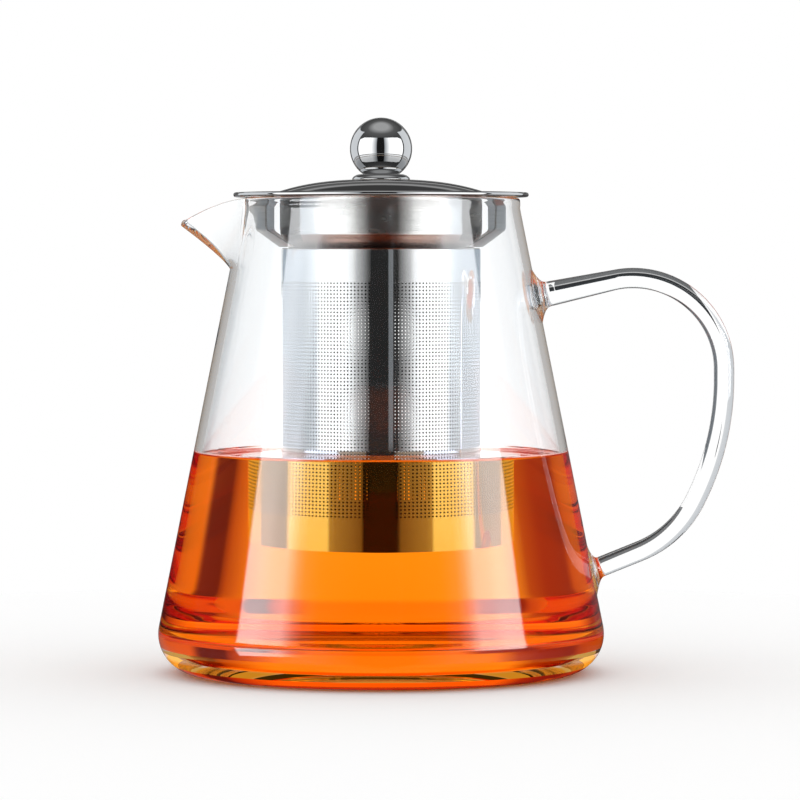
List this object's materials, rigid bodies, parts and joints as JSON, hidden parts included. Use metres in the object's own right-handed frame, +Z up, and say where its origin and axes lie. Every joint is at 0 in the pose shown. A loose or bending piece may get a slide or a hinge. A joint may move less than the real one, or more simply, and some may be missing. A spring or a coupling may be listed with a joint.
{
  "type": "glass teapot with infuser",
  "caption": "Conical clear glass teapot with a pulled spout, a bent glass rod handle, a lift-out perforated steel infuser and a domed steel lid with a ball knob.",
  "frame": {"origin": "centre of the glass foot, on the surface the teapot stands on", "axes": "+Z up along the axis of the body, +X towards the handle, -X towards the spout"},
  "size_m": [0.1615, 0.125, 0.1553],
  "materials": {
    "clear_glass": "clear blown and fire-polished borosilicate glass",
    "polished_steel": "mirror-polished stainless steel",
    "brushed_steel": "stainless steel, finely brushed round the axis",
    "spring_steel": "matt stainless spring strip"
  },
  "bodies": {
    "pot": {"glass_body": "clear_glass", "handle": "clear_glass", "upper_handle_weld": "clear_glass", "lower_handle_weld": "clear_glass"},
    "infuser": {"infuser_rim": "polished_steel", "infuser_collar": "brushed_steel", "infuser_cup": "polished_steel", "infuser_bottom": "polished_steel", "spout_side_spring": "spring_steel", "handle_side_spring": "spring_steel"},
    "lid": {"lid_cover": "polished_steel", "lid_skirt": "brushed_steel", "knob_ring": "polished_steel", "knob_ball": "polished_steel", "knob_screw": "brushed_steel"}
  },
  "joints": [
    {"name": "infuser_lift", "type": "slide", "parent": "pot", "child": "infuser", "axis": [0, 0, 1], "range_m": [0, 0.11]},
    {"name": "lid_lift", "type": "slide", "parent": "infuser", "child": "lid", "axis": [0, 0, 1], "range_m": [0, 0.04]}
  ]
}
